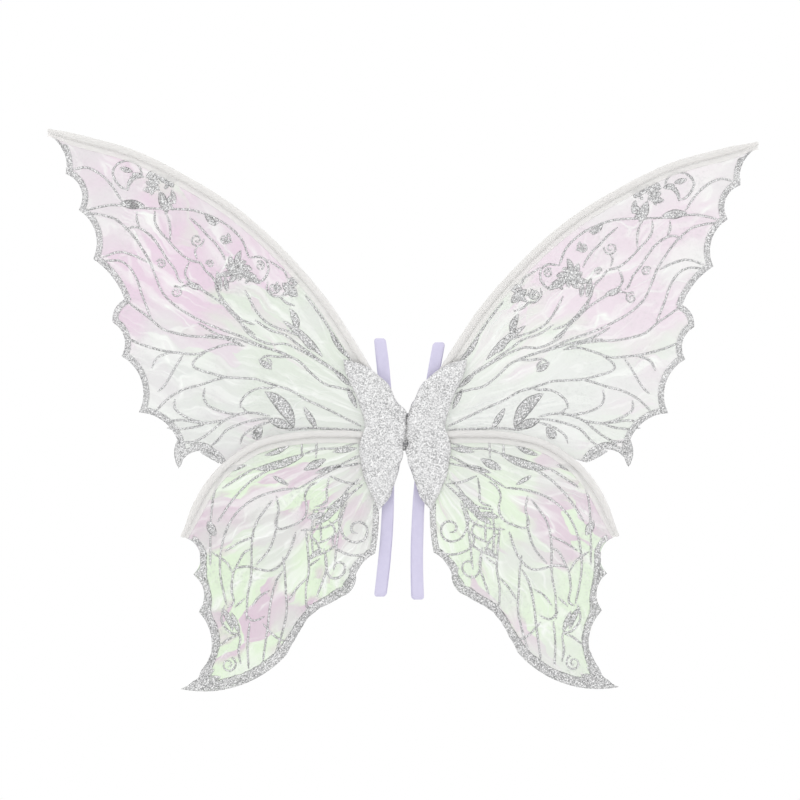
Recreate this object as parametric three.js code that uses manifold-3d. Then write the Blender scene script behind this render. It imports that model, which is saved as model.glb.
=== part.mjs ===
// Fairy wings: two halves of film on wire frames, that fold about a gathered neck, with elastic arm loops.
//
// Frame, in millimetres: +Z up, +Y towards the wearer, +X to the right as seen from the glitter side.
// The origin is the middle of the felt patch that lies on the wearer's back, at the height of the gather.
// Each half is drawn for +X, where "out" is the distance from the centre line, and the left one is mirrored.
import * as THREE from "three";
import { mergeVertices } from "three/addons/utils/BufferGeometryUtils.js";
import Module from "manifold-3d";

// ---------- driving dimensions ----------

// What is set by hand on each side: a formed wire frame never comes out quite the same twice.
// fore: the upper wing's outer corner, out from the centre line and up.
// hind: the lower wing's outer corner, out from the centre line, and how far down its tail hangs.
// strap: heights of the loop's ends, and its distance out at its top, at the origin's height and at its foot.
const SIDES = {
  left: {
    mirror: -1,
    fore: { reach: 356, rise: 299 },
    hind: { reach: 222, drop: 258 },
    strap: { top: 92, bottom: -167, out: [25, 17, 25.5] },
  },
  right: {
    mirror: 1,
    fore: { reach: 352, rise: 286 },
    hind: { reach: 212, drop: 256 },
    strap: { top: 88, bottom: -170, out: [34, 20, 13.2] },
  },
};

const WIRE_STEPS = 20; // along each wire
const CASING_STEPS = 16;
const ARC_STEP = 7; // about this far between the points of an arc
const STRAIGHT_CUT = 0.001; // an arc cut less than this is a straight line
const STRAP_RUN_STEPS = 9;
const STRAP_END_STEPS = 4;

const GAP = 0.3; // between pieces that are sewn or laid against each other
const FILM = 0.4; // film with its organza backing
const PRINT = 0.3; // built-up glitter along the scalloped edge
const PRINT_WIDTH = 6;

const WIRE = 2.0; // plastic-coated spring wire, diameter
const WIRE_SIDES = 8;
const CAP = { outside: 3.0, length: 8, end: 2, round: 0.9, slack: 0.3 }; // vinyl cap on the wire's outer end
const CASING = { width: 7, wall: 0.4, hem: 6, hemThick: 0.5, corner: 1.7 }; // sewn tape round the wire
const CASING_ROUND = { deep: 0.6, wide: 0.3 }; // middle point of a rounded corner, as shares of its depth and width
const BORE = CAP.outside + 0.4; // the wire's tunnel, which the cap also fits
const CASING_THICK = BORE + 2 * CASING.wall;

const BACK_COVER = 1.0; // glitter fabric behind the wing roots
const FRONT_COVER = 1.0; // glitter fabric over the wing roots
const NECK = { half: 6, top: 17, bottom: -21 }; // gathered fabric between the two fold lines
const NECK_CORNER = 2; // cut off the gather's front edges
const NECK_BACK = 3.6; // half width of the gather at its back, which leaves room to flex backwards
const BINDING = { middle: -14, half: 1.5, thick: 1.2, sink: 2 }; // thread wound round the gather
const PATCH = { half: NECK.half - 0.5, height: 34, thick: 0.7 }; // felt patch on the wearer's back
const CORE_INSET = 3.5; // from the cover's edge to the foam core's
const CORE_THIN = 2.3; // foam under the lower wing's root
const SPARE = 0.4; // round a wire that lies in a groove of the core
const SHARPEST = 0.6; // limits how far a sharp corner of an outline moves when the outline shrinks

const STRAP = { width: 12, thick: 1.4, depth: 8 }; // flat elastic, and the loop's depth when it lies flat
const TACK = { height: 9, width: 10, thick: 0.6 }; // the stitching that holds the loop

// Layers, counted from the wearer forwards: y falls towards the glitter side.
const COVER_BACK_Y = -PATCH.thick - GAP;
const FORE_Y = COVER_BACK_Y - BACK_COVER - GAP;
const CORE_Y = FORE_Y - FILM - GAP;
const HIND_Y = CORE_Y - CORE_THIN - GAP;
const COVER_FRONT_Y = HIND_Y - CASING_THICK - GAP;
const FRONT_Y = COVER_FRONT_Y - FRONT_COVER;
const STRAP_Y = COVER_BACK_Y + GAP;

// ---------- shapes, as shares of a wing's reach and of its rise or drop ----------

// A wire runs from the root under the cover to the wing's outer corner, and its casing starts some way along.
// A scalloped edge runs on from there to the root: where each arc ends, and how deep it is cut as a share of
// its chord. A negative cut swells outwards.
const FOREWING = {
  wire: [
    [0.042, 0.074], [0.09, 0.175], [0.153, 0.3], [0.232, 0.44], [0.349, 0.598],
    [0.467, 0.724], [0.584, 0.816], [0.751, 0.919], [0.918, 0.977], [1, 1],
  ],
  casingFrom: 22,
  edge: [
    { to: [0.952, 0.856], cut: 0.17 },
    { to: [0.916, 0.736], cut: 0.24 },
    { to: [0.876, 0.572], cut: 0.19 },
    { to: [0.788, 0.438], cut: 0.08 },
    { to: [0.822, 0.361], cut: -0.15 },
    { to: [0.796, 0.247], cut: 0.21 },
    { to: [0.747, 0.059], cut: 0.2 },
    { to: [0.637, -0.132], cut: 0.25 },
    { to: [0.517, -0.114], cut: 0.37 },
    { to: [0.118, -0.04], cut: 0.03 },
  ],
  printed: 9,
  root: [[0.039, -0.03], [0.039, 0.03]],
};
const HINDWING = {
  wire: [
    [0.08, -0.045], [0.2, -0.018], [0.3, -0.0135], [0.476, -0.019], [0.651, -0.051],
    [0.783, -0.119], [0.87, -0.194], [0.936, -0.285], [0.981, -0.377], [1, -0.411],
  ],
  casingFrom: 12,
  edge: [
    { to: [0.95, -0.558], cut: 0.28 },
    { to: [0.926, -0.702], cut: 0.21 },
    { to: [1.007, -1], cut: 0.27 },
    { to: [0.532, -0.868], cut: -0.135 },
    { to: [0.414, -0.698], cut: 0.02 },
    { to: [0.288, -0.646], cut: -0.03 },
    { to: [0.223, -0.543], cut: -0.2 },
    { to: [0.135, -0.477], cut: 0.06 },
    { to: [0.117, -0.3], cut: -0.03 },
  ],
  printed: 9,
  root: [[0.1, -0.23], [0.075, -0.1]],
};

// The covers are set by hand in millimetres, because they don't grow with the wings.
const COVER = {
  innerTop: [[10, 30], [16, 44]],
  top: [[25, 53.5], [44, 66], [61.5, 70.5]],
  outer: [[56, 47], [43, 14], [40, 4], [46, -17], [41, -47], [26.5, -80]],
  innerBottom: [[20, -73.5], [12, -58]],
};
// The lower wing swings about the wire's stitched root, so the thick part of the core stops short of it.
const CORE_STEP = [[0, -3], [70, 11]];
const CORE_REACH = 120; // further than the core reaches, for what is cut off it

// ---------- helpers ----------

const wasm = await Module();
wasm.setup();

const X_WAY = new THREE.Vector3(1, 0, 0);
const Y_WAY = new THREE.Vector3(0, 1, 0);
const Z_WAY = new THREE.Vector3(0, 0, 1);

const vector = ([x, y]) => new THREE.Vector2(x, y);
const scaled = (shares, out, up) => shares.map(([x, y]) => new THREE.Vector2(x * out, y * up));

// A circular arc between two points, bulging to the right of the way by cut times the chord.
function arc(from, to, cut) {
  const chord = to.clone().sub(from);
  if (Math.abs(cut) < STRAIGHT_CUT) return [from, to];
  const side = new THREE.Vector2(chord.y, -chord.x);
  const radius = (1 + 4 * cut * cut) / (8 * cut); // in chords, with the sign of the cut
  const half = Math.asin(0.5 / radius);
  const steps = Math.max(3, Math.round(chord.length() / ARC_STEP));
  const points = [];
  for (let i = 0; i <= steps; i += 1) {
    const turn = half * ((2 * i) / steps - 1);
    const along = 0.5 + radius * Math.sin(turn);
    const off = radius * (Math.cos(turn) - Math.cos(half));
    points.push(from.clone().addScaledVector(chord, along).addScaledVector(side, off));
  }
  return points;
}

// The scalloped line as one list of points for each arc.
function scallops(start, edge, size) {
  let from = start;
  return edge.map(({ to, cut }) => {
    const points = arc(from, vector([to[0] * size[0], to[1] * size[1]]), cut);
    from = points[points.length - 1];
    return points;
  });
}

// Moves each point of a line sideways, to the right of the way it runs.
function offset(points, distance) {
  return points.map((p, i) => {
    const before = points[Math.max(i - 1, 0)];
    const after = points[Math.min(i + 1, points.length - 1)];
    const way = after.clone().sub(before).normalize();
    return p.clone().add(new THREE.Vector2(way.y, -way.x).multiplyScalar(distance));
  });
}

// A flat piece: an outline in the X-Z plane, from y = back to y = back - thick.
function plate(points, back, thick) {
  const shape = new THREE.Shape(points);
  const made = new THREE.ExtrudeGeometry(shape, { depth: thick, bevelEnabled: false });
  return made.rotateX(Math.PI / 2).translate(0, back, 0);
}

// A section swept along a wire: its x is forwards of the wire, its y is towards the film.
function sweep(section, path, steps) {
  return new THREE.ExtrudeGeometry(section, { steps, bevelEnabled: false, extrudePath: path });
}

function circle(radius, sides) {
  const points = [];
  for (let i = 0; i < sides; i += 1) {
    const angle = (2 * Math.PI * i) / sides;
    points.push(new THREE.Vector2(radius * Math.cos(angle), radius * Math.sin(angle)));
  }
  return points;
}

function solid(geometry) {
  const bare = geometry.clone();
  bare.deleteAttribute("normal");
  bare.deleteAttribute("uv");
  const merged = mergeVertices(bare, 1e-3);
  const mesh = { numProp: 3, vertProperties: merged.attributes.position.array };
  return new wasm.Manifold(new wasm.Mesh({ ...mesh, triVerts: new Uint32Array(merged.index.array) }));
}

function geometryOf(manifold) {
  const mesh = manifold.getMesh();
  const made = new THREE.BufferGeometry();
  made.setAttribute("position", new THREE.BufferAttribute(mesh.vertProperties, 3));
  made.setIndex(new THREE.BufferAttribute(mesh.triVerts, 1));
  made.computeVertexNormals();
  return made;
}

// The part of a curve between two shares of its length, as a curve of its own.
function portion(curve, from, to, count) {
  const points = [];
  for (let i = 0; i <= count; i += 1) points.push(curve.getPointAt(from + ((to - from) * i) / count));
  return new THREE.CatmullRomCurve3(points);
}

// ---------- materials ----------

const finish = (color, roughness, metalness = 0) =>
  new THREE.MeshStandardMaterial({ color, roughness, metalness });
const MATERIALS = {
  film: new THREE.MeshStandardMaterial({ color: 0xf0e8f2, roughness: 0.2, transparent: true, opacity: 0.7 }),
  glitter: finish(0xc9c9ce, 0.45, 0.6),
  casing: finish(0xf2f2ee, 0.6),
  wire: finish(0xf4f4f4, 0.4),
  cap: finish(0xffffff, 0.5),
  foam: finish(0xf0f0f0, 0.9),
  felt: finish(0xe9e9ec, 0.95),
  thread: finish(0xbdbdc2, 0.7),
  elastic: finish(0xd9d3ef, 0.8),
};

// ---------- one wing ----------

// Section of the casing: a flattened tube with the wire's tunnel, and a hem that lies on the film's front.
function casingSection() {
  const deep = CASING_THICK / 2;
  const half = CASING.width / 2;
  const inner = half - CASING.corner;
  const deepMid = deep * CASING_ROUND.deep;
  const halfMid = half - CASING.corner * CASING_ROUND.wide;
  const hemBack = -deep + FILM + GAP;
  const hemFront = hemBack + CASING.hemThick;
  const hemEnd = half + CASING.hem;
  const round = [[-deep, -inner], [-deepMid, -halfMid], [0, -half], [deepMid, -halfMid], [deep, -inner]];
  const seam = [[deep, inner], [deepMid, halfMid], [hemFront, half], [hemFront, hemEnd], [hemBack, hemEnd]];
  const section = new THREE.Shape([...round, ...seam, [hemBack, half], [-deep, inner]].map(vector));
  const boreCorner = BORE / 2 / Math.cos(Math.PI / WIRE_SIDES); // so that its flat sides are a bore apart
  section.holes.push(new THREE.Path(circle(boreCorner, WIRE_SIDES).reverse()));
  return section;
}

// Vinyl cap, its mouth at the origin and its closed end up the Y axis.
function capGeometry() {
  const inside = WIRE / 2 + CAP.slack;
  const outside = CAP.outside / 2;
  const profile = [
    [0, CAP.length - CAP.end], [inside, CAP.length - CAP.end], [inside, 0], [outside, 0],
    [outside, CAP.length - CAP.round], [outside - CAP.round, CAP.length], [0, CAP.length],
  ];
  return new THREE.LatheGeometry(profile.map(vector), WIRE_SIDES);
}

// A band along one arc, on the film's side of it, with ends that run on so that bands meet at the corners.
function bandAlong(points, width) {
  const last = points.length - 1;
  const overlap = width / 2;
  const before = points[0].clone().sub(points[1]).setLength(overlap).add(points[0]);
  const after = points[last].clone().sub(points[last - 1]).setLength(overlap).add(points[last]);
  const run = [before, ...points.slice(1, -1), after];
  return [...run, ...offset(run, width).reverse()];
}

// The five pieces of a wing, whose film has its back face at y = back.
function wing(kind, side, back, shares, size) {
  const line = scaled(shares.wire, ...size);
  const wireY = back - CASING_THICK / 2;
  const curve = new THREE.CatmullRomCurve3(line.map((p) => new THREE.Vector3(p.x, wireY, p.y)));
  const length = curve.getLength();
  const wired = portion(curve, 0, 1 - (CAP.end + GAP) / length, WIRE_STEPS);
  const covered = portion(curve, shares.casingFrom / length, 1, CASING_STEPS);

  const flat = curve.getSpacedPoints(WIRE_STEPS).map((p) => new THREE.Vector2(p.x, p.z));
  const arcsFrom = (top, count) => scallops(top[top.length - 1], shares.edge.slice(0, count), size);
  const outline = (inset) => {
    const top = offset(flat, inset);
    const edge = arcsFrom(top).flatMap((points) => points.slice(1));
    return [...top, ...edge, ...scaled(shares.root, ...size)];
  };
  const filmTop = offset(flat, CASING.width / 2 + GAP);
  const clearOfHem = outline(CASING.width / 2 + CASING.hem + GAP);
  const printBack = back - FILM - GAP;
  const bands = arcsFrom(filmTop, shares.printed).map((points) => bandAlong(points, PRINT_WIDTH));
  const printed = bands.map((band) => solid(plate(band, printBack, PRINT)));
  const joined = printed.reduce((all, band) => all.add(band));
  const print = joined.intersect(solid(plate(clearOfHem, printBack + GAP / 2, PRINT + GAP)));

  const cap = capGeometry();
  const capFrom = curve.getPointAt(1 - CAP.length / length);
  const capWay = curve.getPointAt(1).sub(capFrom).normalize();
  cap.applyQuaternion(new THREE.Quaternion().setFromUnitVectors(new THREE.Vector3(0, 1, 0), capWay));
  cap.translate(capFrom.x, capFrom.y, capFrom.z);
  return [
    [`${kind}_film_${side}`, plate(outline(CASING.width / 2 + GAP), back, FILM), "film"],
    [`${kind}_glitter_edge_${side}`, geometryOf(print), "glitter"],
    [`${kind}_casing_${side}`, sweep(casingSection(), covered, CASING_STEPS), "casing"],
    [`${kind}_wire_${side}`, sweep(new THREE.Shape(circle(WIRE / 2, WIRE_SIDES)), wired, WIRE_STEPS), "wire"],
    [`${kind}_wire_cap_${side}`, cap, "cap"],
  ];
}

// ---------- the covers and the foam between them ----------

function coverOutline(inset) {
  const inner = NECK.half + GAP;
  const down = [[inner, NECK.top], ...COVER.innerTop, ...COVER.top, ...COVER.outer, ...COVER.innerBottom];
  const corners = [...down, [inner, NECK.bottom]].reverse().map(vector);
  return inset === 0 ? corners : shrunk(corners, inset);
}

// A closed outline moved inwards: each corner goes along the bisector of its two sides.
function shrunk(points, inset) {
  return points.map((p, i) => {
    const before = p.clone().sub(points[(i + points.length - 1) % points.length]).normalize();
    const after = points[(i + 1) % points.length].clone().sub(p).normalize();
    const inward = new THREE.Vector2(-before.y - after.y, before.x + after.x).normalize();
    const half = Math.max(inward.dot(new THREE.Vector2(-after.y, after.x)), SHARPEST);
    return p.clone().addScaledVector(inward, inset / half);
  });
}

function core(size) {
  const outline = coverOutline(CORE_INSET);
  const frontY = COVER_FRONT_Y + GAP;
  const whole = solid(plate(outline, CORE_Y, CORE_Y - frontY));
  const [[stepX, stepZ], [farX, farZ]] = CORE_STEP;
  const below = [[stepX, stepZ], [farX, farZ], [farX, -CORE_REACH], [stepX, -CORE_REACH]].map(vector);
  const thinned = whole.subtract(solid(plate(below, CORE_Y - CORE_THIN, CORE_REACH)));
  const line = scaled(FOREWING.wire, ...size);
  const start = line[0].clone().sub(line[1].clone().sub(line[0]).setLength(SPARE + WIRE / 2));
  const route = [start, ...line.slice(1, 4)];
  const near = offset(route, -CASING.width / 2 - SPARE);
  const far = offset(route, CASING.width / 2 + CASING.hem + SPARE);
  const groove = plate([...near, ...far.reverse()], CORE_Y + GAP, FORE_Y - CORE_Y + CASING_THICK + SPARE);
  return geometryOf(thinned.subtract(solid(groove)));
}

// ---------- straps ----------

// Flat elastic sewn into a ring, seen from the side, and leaning as its three distances from the centre say.
function strapGeometry({ top, bottom, out }) {
  const ring = (inset) => {
    const radius = STRAP.depth / 2 - inset;
    const points = [];
    for (const [end, from] of [[top - STRAP.depth / 2, 0], [bottom + STRAP.depth / 2, Math.PI]]) {
      for (let i = 0; i <= STRAP_END_STEPS; i += 1) {
        const angle = from + (Math.PI * i) / STRAP_END_STEPS;
        points.push(new THREE.Vector2(radius * Math.cos(angle), end + radius * Math.sin(angle)));
      }
      const runTop = top - STRAP.depth / 2;
      const runBottom = bottom + STRAP.depth / 2;
      for (let i = 1; i < STRAP_RUN_STEPS; i += 1) {
        const down = from === 0 ? i / STRAP_RUN_STEPS : 1 - i / STRAP_RUN_STEPS;
        const x = from === 0 ? -radius : radius;
        points.push(new THREE.Vector2(x, runTop + (runBottom - runTop) * down));
      }
    }
    return points;
  };
  const shape = new THREE.Shape(ring(0));
  shape.holes.push(new THREE.Path(ring(STRAP.thick).reverse()));
  const made = new THREE.ExtrudeGeometry(shape, { depth: STRAP.width, bevelEnabled: false });
  made.translate(0, 0, -STRAP.width / 2);
  // From drawn as (y, z, x) to placed as (x, y, z).
  made.applyMatrix4(new THREE.Matrix4().makeBasis(Y_WAY, Z_WAY, X_WAY));
  made.translate(0, STRAP_Y + STRAP.depth / 2, 0);
  return bent(made, (z) => strapOut(z, { top, bottom, out }));
}

// Distance of the strap's middle from the centre line at a height: a parabola through three points.
function strapOut(z, { top, bottom, out }) {
  const [high, middle, low] = out;
  const share = (z - bottom) / (top - bottom);
  const centre = -bottom / (top - bottom);
  const straight = low + (high - low) * share;
  const sag = (middle - (low + (high - low) * centre)) / (centre * (1 - centre));
  return straight + sag * share * (1 - share);
}

function bent(geometry, outAt) {
  const place = geometry.attributes.position;
  for (let i = 0; i < place.count; i += 1) place.setX(i, place.getX(i) + outAt(place.getZ(i)));
  return geometry;
}

function tackGeometry(strap) {
  const made = new THREE.BoxGeometry(TACK.width, TACK.thick, TACK.height);
  return made.translate(strapOut(0, strap), STRAP_Y + STRAP.thick + GAP + TACK.thick / 2, 0);
}

// ---------- the gathered neck ----------

// A solid of one section in the X-Y plane, between two heights. The section narrows from front to back.
function neckBlock(low, high, inset) {
  const front = FRONT_Y + inset;
  const back = COVER_BACK_Y - inset;
  const halfFront = NECK.half - inset;
  const halfBack = NECK_BACK - inset;
  const corner = NECK_CORNER;
  const section = [
    [halfBack, back], [-halfBack, back], [-halfFront, front + corner],
    [-halfFront + corner, front], [halfFront - corner, front], [halfFront, front + corner],
  ];
  const shape = new THREE.Shape(section.map(vector).reverse());
  const made = new THREE.ExtrudeGeometry(shape, { depth: high - low, bevelEnabled: false });
  return solid(made.translate(0, 0, low));
}

// The part of the gather's height that the thread covers, with some room above and below.
function boundBlock(room, inset) {
  return neckBlock(BINDING.middle - BINDING.half - room, BINDING.middle + BINDING.half + room, inset);
}

function gather() {
  const whole = neckBlock(NECK.bottom, NECK.top, 0);
  const groove = boundBlock(GAP, -GAP).subtract(boundBlock(2 * GAP, BINDING.sink));
  return geometryOf(whole.subtract(groove));
}

function binding() {
  const inner = BINDING.sink - GAP;
  return geometryOf(boundBlock(0, inner - BINDING.thick).subtract(boundBlock(GAP, inner)));
}

// ---------- assembly ----------

function addPart(group, name, geometry, material, mirror) {
  const made = mirror < 0 ? mirrored(geometry) : geometry;
  const mesh = new THREE.Mesh(made, MATERIALS[material]);
  mesh.name = name;
  group.add(mesh);
}

// The same shape on the other side of the centre line, with its faces still pointing out.
function mirrored(geometry) {
  const flat = geometry.index ? geometry.toNonIndexed() : geometry.clone();
  flat.scale(-1, 1, 1);
  const place = flat.attributes.position.array;
  for (let i = 0; i < place.length; i += 9) {
    const second = place.slice(i + 3, i + 6);
    place.copyWithin(i + 3, i + 6, i + 9);
    place.set(second, i + 6);
  }
  flat.deleteAttribute("normal");
  flat.computeVertexNormals();
  return flat;
}

function half(side) {
  const { mirror, fore, hind, strap } = SIDES[side];
  const group = new THREE.Group();
  const foreSize = [fore.reach, fore.rise];
  const pieces = [
    ...wing("forewing", side, FORE_Y, FOREWING, foreSize),
    ...wing("hindwing", side, HIND_Y, HINDWING, [hind.reach, hind.drop]),
    [`cover_back_${side}`, plate(coverOutline(0), COVER_BACK_Y, BACK_COVER), "glitter"],
    [`core_${side}`, core(foreSize), "foam"],
    [`cover_front_${side}`, plate(coverOutline(0), COVER_FRONT_Y, FRONT_COVER), "glitter"],
    [`strap_${side}`, strapGeometry(strap), "elastic"],
    [`strap_tack_${side}`, tackGeometry(strap), "thread"],
  ];
  for (const [name, geometry, material] of pieces) addPart(group, name, geometry, material, mirror);
  return group;
}

const wings = new THREE.Group();
wings.add(half("left"), half("right"));
addPart(wings, "gather", gather(), "glitter", 1);
addPart(wings, "gather_binding", binding(), "thread", 1);
const patch = new THREE.BoxGeometry(2 * PATCH.half, PATCH.thick, PATCH.height);
addPart(wings, "back_patch", patch.translate(0, -PATCH.thick / 2, 0), "felt", 1);

export default wings;
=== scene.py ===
# Fairy wings: iridescent film on wire frames, glitter print, gathered glitter covers and elastic arm loops.
import math

import bmesh
import bpy
import numpy as np
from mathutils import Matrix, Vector, noise
from mathutils.geometry import delaunay_2d_cdt


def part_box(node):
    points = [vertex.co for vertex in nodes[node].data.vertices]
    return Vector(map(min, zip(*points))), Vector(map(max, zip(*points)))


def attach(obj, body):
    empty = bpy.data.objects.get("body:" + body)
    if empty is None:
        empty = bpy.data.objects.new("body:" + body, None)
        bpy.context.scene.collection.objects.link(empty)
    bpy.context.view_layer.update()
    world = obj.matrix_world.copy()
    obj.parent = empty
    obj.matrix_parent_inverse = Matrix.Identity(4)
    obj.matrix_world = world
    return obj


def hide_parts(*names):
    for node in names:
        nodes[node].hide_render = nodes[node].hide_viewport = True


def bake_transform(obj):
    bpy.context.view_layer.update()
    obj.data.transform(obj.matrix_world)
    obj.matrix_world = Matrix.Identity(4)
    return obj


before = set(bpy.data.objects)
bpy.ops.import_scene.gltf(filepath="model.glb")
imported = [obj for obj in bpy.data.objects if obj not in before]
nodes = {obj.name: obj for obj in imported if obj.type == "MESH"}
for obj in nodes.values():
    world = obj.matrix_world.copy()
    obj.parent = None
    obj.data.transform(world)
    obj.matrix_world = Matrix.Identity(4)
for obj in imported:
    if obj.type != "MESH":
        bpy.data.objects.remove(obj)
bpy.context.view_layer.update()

mm = 0.001
print("frame loaded:", len(nodes), "nodes")


# shader nodes written as expressions

class Channel:
    def __init__(self, finish, socket):
        self.finish = finish
        self.socket = socket

    def maths(self, operation, *others, clamp=False):
        values = dict(enumerate((self, *others)))
        return self.finish.add("ShaderNodeMath", {"operation": operation, "use_clamp": clamp}, values)

    def __add__(self, other):
        return self.maths("ADD", other)

    def __sub__(self, other):
        return self.maths("SUBTRACT", other)

    def __mul__(self, other):
        return self.maths("MULTIPLY", other)

    def __rsub__(self, other):
        return self.finish.add("ShaderNodeMath", {"operation": "SUBTRACT"}, {0: other, 1: self})

    __radd__ = __add__
    __rmul__ = __mul__

    def between(self, low, high):
        ends = {"From Min": low, "From Max": high, "Value": self}
        return self.finish.add("ShaderNodeMapRange", {"interpolation_type": "SMOOTHSTEP"}, ends)


class Finish:
    def __init__(self, name, **fixed):
        self.material = bpy.data.materials.new(name)
        self.material.use_nodes = True
        self.tree = self.material.node_tree
        self.surface = self.tree.nodes["Principled BSDF"]
        for socket, value in fixed.items():
            self.surface.inputs[socket.replace("_", " ")].default_value = value

    def add(self, kind, settings=None, inputs=None, out=0):
        made = self.tree.nodes.new(kind)
        for key, value in (settings or {}).items():
            if key == "stops":
                fillRamp(made.color_ramp, value)
            else:
                setattr(made, key, value)
        for key, value in (inputs or {}).items():
            self.join(value, made.inputs[key])
        return Channel(self, made.outputs[out])

    def join(self, value, socket):
        if isinstance(value, Channel):
            self.tree.links.new(value.socket, socket)
        else:
            socket.default_value = value

    def set(self, **values):
        for name, value in values.items():
            self.join(value, self.surface.inputs[name.replace("_", " ")])
        return self.material

    def place(self):
        return self.add("ShaderNodeTexCoord", out="Object")

    def grain(self, scale, detail=2.0, vector=None):
        inputs = {"Scale": scale, "Detail": detail, "Vector": vector or self.place()}
        return self.add("ShaderNodeTexNoise", None, inputs)

    def mix(self, factor, first, second):
        return self.add("ShaderNodeMix", {"data_type": "RGBA"}, {0: factor, 6: first, 7: second}, out=2)

    def bump(self, height, strength, distance):
        inputs = {"Strength": strength, "Distance": distance, "Height": height}
        return self.add("ShaderNodeBump", None, inputs)

    def flakes(self, vector, scale):
        inputs = {"Vector": vector, "Scale": scale}
        return self.add("ShaderNodeTexVoronoi", {"feature": "F1"}, inputs, out=1)

    def parts(self, kind, value):
        # the three numbers in a vector or a colour
        node = self.add(kind, None, {0: value}).socket.node
        return [Channel(self, output) for output in node.outputs[:3]]


def fillRamp(ramp, stops):
    while len(ramp.elements) < len(stops):
        ramp.elements.new(1.0)
    for element, (position, colour) in zip(ramp.elements, stops):
        element.position = position
        element.color = colour


def rgb(red, green, blue):
    # 0-255 display values to linear light
    return tuple(((c / 255 + 0.055) / 1.055) ** 2.4 for c in (red, green, blue)) + (1.0,)


# outlines and flat meshes, all in millimetres until they become objects

def outlines(node):
    # the closed lines round the front face of a flat CAD piece
    shape = bmesh.new()
    shape.from_mesh(nodes[node].data)
    bmesh.ops.remove_doubles(shape, verts=shape.verts, dist=1e-6)
    front = min(v.co.y for v in shape.verts)
    faces = {f for f in shape.faces if all(v.co.y < front + 1e-5 for v in f.verts)}
    following = {}
    for face in faces:
        for loop in face.loops:
            if sum(f in faces for f in loop.edge.link_faces) == 1:
                following[loop.vert] = loop.link_loop_next.vert
    lines = []
    while following:
        start, vert = following.popitem()
        line = [start.co.copy()]
        while vert in following:
            line.append(vert.co.copy())
            vert = following.pop(vert)
        lines.append(np.array([(p.x, p.z) for p in line]) / mm)
    shape.free()
    return sorted(lines, key=len, reverse=True)


def unit(ways):
    return ways / np.maximum(np.linalg.norm(ways, axis=-1, keepdims=True), 1e-9)


def runOf(line):
    # how far along a line each of its points lies
    return np.concatenate([[0], np.cumsum(np.linalg.norm(np.diff(line, axis=0), axis=1))])


def curved(points, step, corner=math.radians(32), closed=True):
    # a smooth line through the points that keeps its sharp corners
    points = np.asarray(points, float)
    count = len(points)
    before = np.roll(points, 1, 0) if closed else np.vstack([points[:1], points[:-1]])
    after = np.roll(points, -1, 0) if closed else np.vstack([points[1:], points[-1:]])
    turn = np.abs(angleBetween(points - before, after - points))
    sharp = turn > corner
    tangent = (after - before) / 2
    made = []
    for i in range(count if closed else count - 1):
        j = (i + 1) % count
        gap = points[j] - points[i]
        leave = gap if sharp[i] else tangent[i]
        arrive = gap if sharp[j] else tangent[j]
        size = np.linalg.norm(gap)
        leave, arrive = unit(leave) * size, unit(arrive) * size
        pieces = max(1, round(size / step))
        for t in np.arange(pieces) / pieces:
            made.append((2 * t**3 - 3 * t**2 + 1) * points[i] + (t**3 - 2 * t**2 + t) * leave
                        + (3 * t**2 - 2 * t**3) * points[j] + (t**3 - t**2) * arrive)
    if not closed:
        made.append(points[-1])
    return np.array(made)


def angleBetween(first, second):
    cross = first[:, 0] * second[:, 1] - first[:, 1] * second[:, 0]
    return np.arctan2(cross, (first * second).sum(1))


def distanceTo(line, points, closed=False):
    # from each point to the nearest part of a line
    ends = np.roll(line, -1, 0) if closed else line[1:]
    starts = line if closed else line[:-1]
    best = np.full(len(points), np.inf)
    for a, b in zip(starts, ends):
        way = b - a
        share = np.clip(((points - a) @ way) / max(way @ way, 1e-12), 0, 1)
        best = np.minimum(best, np.linalg.norm(points - a - share[:, None] * way, axis=1))
    return best


def inside(line, points):
    x, z = points[:, 0], points[:, 1]
    odd = np.zeros(len(points), bool)
    for (ax, az), (bx, bz) in zip(line, np.roll(line, -1, 0)):
        crosses = (az > z) != (bz > z)
        odd ^= crosses & (x < (bx - ax) * (z - az) / (bz - az if bz != az else 1e-12) + ax)
    return odd


def meshed(line, step):
    # fills an outline with even triangles: points and faces
    low, high = line.min(0), line.max(0)
    rows = np.arange(low[1], high[1], step * 0.866)
    columns = np.arange(low[0], high[0], step)
    grid = np.array([(x + (i % 2) * step / 2, z) for i, z in enumerate(rows) for x in columns])
    grid = grid[inside(line, grid)]
    grid = grid[distanceTo(line, grid, closed=True) > step * 0.55]
    points = [Vector(p) for p in line] + [Vector(p) for p in grid]
    edges = [(i, (i + 1) % len(line)) for i in range(len(line))]
    made, _, faces, *_ = delaunay_2d_cdt(points, edges, [], 1, 1e-4)
    flat = np.array([(p.x, p.y) for p in made])
    keep = inside(line, np.array([flat[list(f)].mean(0) for f in faces]))
    return flat, [f for f, k in zip(faces, keep) if k]


def cutSize(line):
    # what a flat piece measures before it is sewn: across and up, and its area, in metres
    x, z = line[:, 0], line[:, 1]
    area = 0.5 * abs(float(np.dot(x, np.roll(z, 1)) - np.dot(z, np.roll(x, 1))))
    return tuple(float(v) * mm for v in line.max(0) - line.min(0)), area * mm * mm


def lift(flat, y):
    # flat points with their y between
    return np.column_stack([flat[:, 0], y, flat[:, 1]])


def thinSolid(flat, faces, frontY, thick):
    # a closed sheet with its front at y = frontY, and its faces pointing out
    count = len(flat)
    front = lift(flat, frontY)
    back = front.copy()
    back[:, 1] += thick
    sides = dict.fromkeys(side for face in faces for side in zip(face, face[1:] + face[:1]))
    rim = [(i, j) for i, j in sides if (j, i) not in sides]
    solid = [tuple(f) for f in faces] + [tuple(i + count for i in reversed(f)) for f in faces]
    solid += [(j, i, i + count, j + count) for i, j in rim]
    return np.vstack([front, back]), solid


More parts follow.
